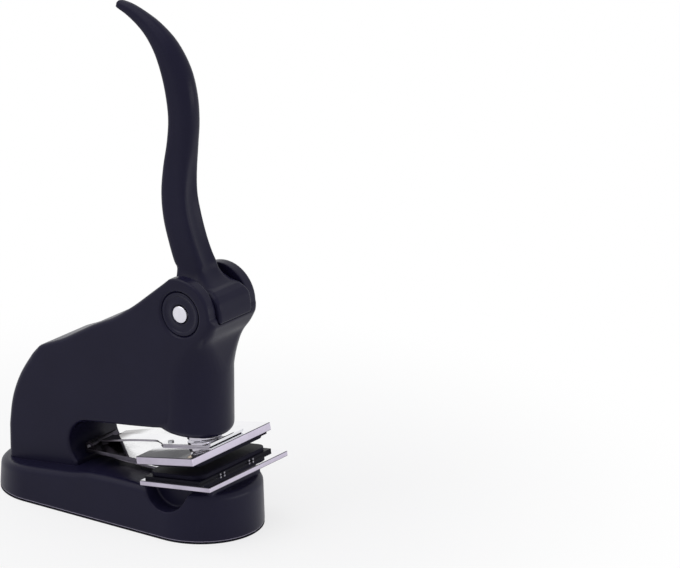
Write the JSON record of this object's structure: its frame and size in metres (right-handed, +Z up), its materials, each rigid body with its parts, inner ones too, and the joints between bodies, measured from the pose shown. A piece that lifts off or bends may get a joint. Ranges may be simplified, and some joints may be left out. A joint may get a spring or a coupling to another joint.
{
  "type": "seal embosser",
  "caption": "Desk seal embosser: black cast C-frame on a stadium base, S-shaped hand lever, cam-driven ram and a hinged pair of bright die plates with a blank die set.",
  "frame": {"origin": "middle of the flat underside, on the plane that the embosser stands on", "axes": "+X from the rear of the base to the nose, +Z up, Y along the pivot pin"},
  "size_m": [0.1284, 0.054, 0.2212],
  "materials": {
    "black_paint": "satin",
    "black_rubber": "matt",
    "chrome": "polished",
    "steel": "brushed",
    "bronze": "machined",
    "nylon": "matt",
    "die_black": "satin"
  },
  "bodies": {
    "stand": {"base": "black_paint", "base_pad": "black_rubber", "frame_screws": "steel", "frame": "black_paint", "ear_bushes": "black_paint", "pivot_pin": "chrome", "thrust_washers": "nylon", "guide_bush": "bronze", "return_spring": "steel", "lower_plate": "chrome", "locating_pins": "steel", "die_holder": "die_black", "female_die": "die_black", "holder_pins": "steel", "jaw_pin": "steel"},
    "lever": {"lever": "black_paint", "hub_bush": "bronze"},
    "ram": {"ram": "chrome", "ram_foot": "chrome", "ram_head": "steel", "head_pin": "steel"},
    "jaw": {"upper_plate": "chrome", "male_die": "die_black", "leaf_strip": "chrome", "strip_rivets": "steel"}
  },
  "joints": [
    {"name": "lever_press", "type": "hinge", "parent": "stand", "child": "lever", "pos_m": [0.0394, 0, 0.097], "axis": [0, -1, 0], "range_deg": [0, 60], "stiffness_Nm_per_rad": 0.3, "springref_deg": -17.19},
    {"name": "ram_slide", "type": "slide", "parent": "stand", "child": "ram", "axis": [0, 0, -1], "range_m": [0, 0.00286], "deforming": ["return_spring"]},
    {"name": "jaw_close", "type": "hinge", "parent": "stand", "child": "jaw", "pos_m": [-0.015, 0, 0.0246], "axis": [0, 1, 0], "range_deg": [0, 2.86]}
  ],
  "couplings": [
    {"joint": "ram_slide", "follows": "lever_press", "m_per_rad": 0.0027216},
    {"joint": "jaw_close", "follows": "lever_press", "ratio": 0.0475}
  ]
}
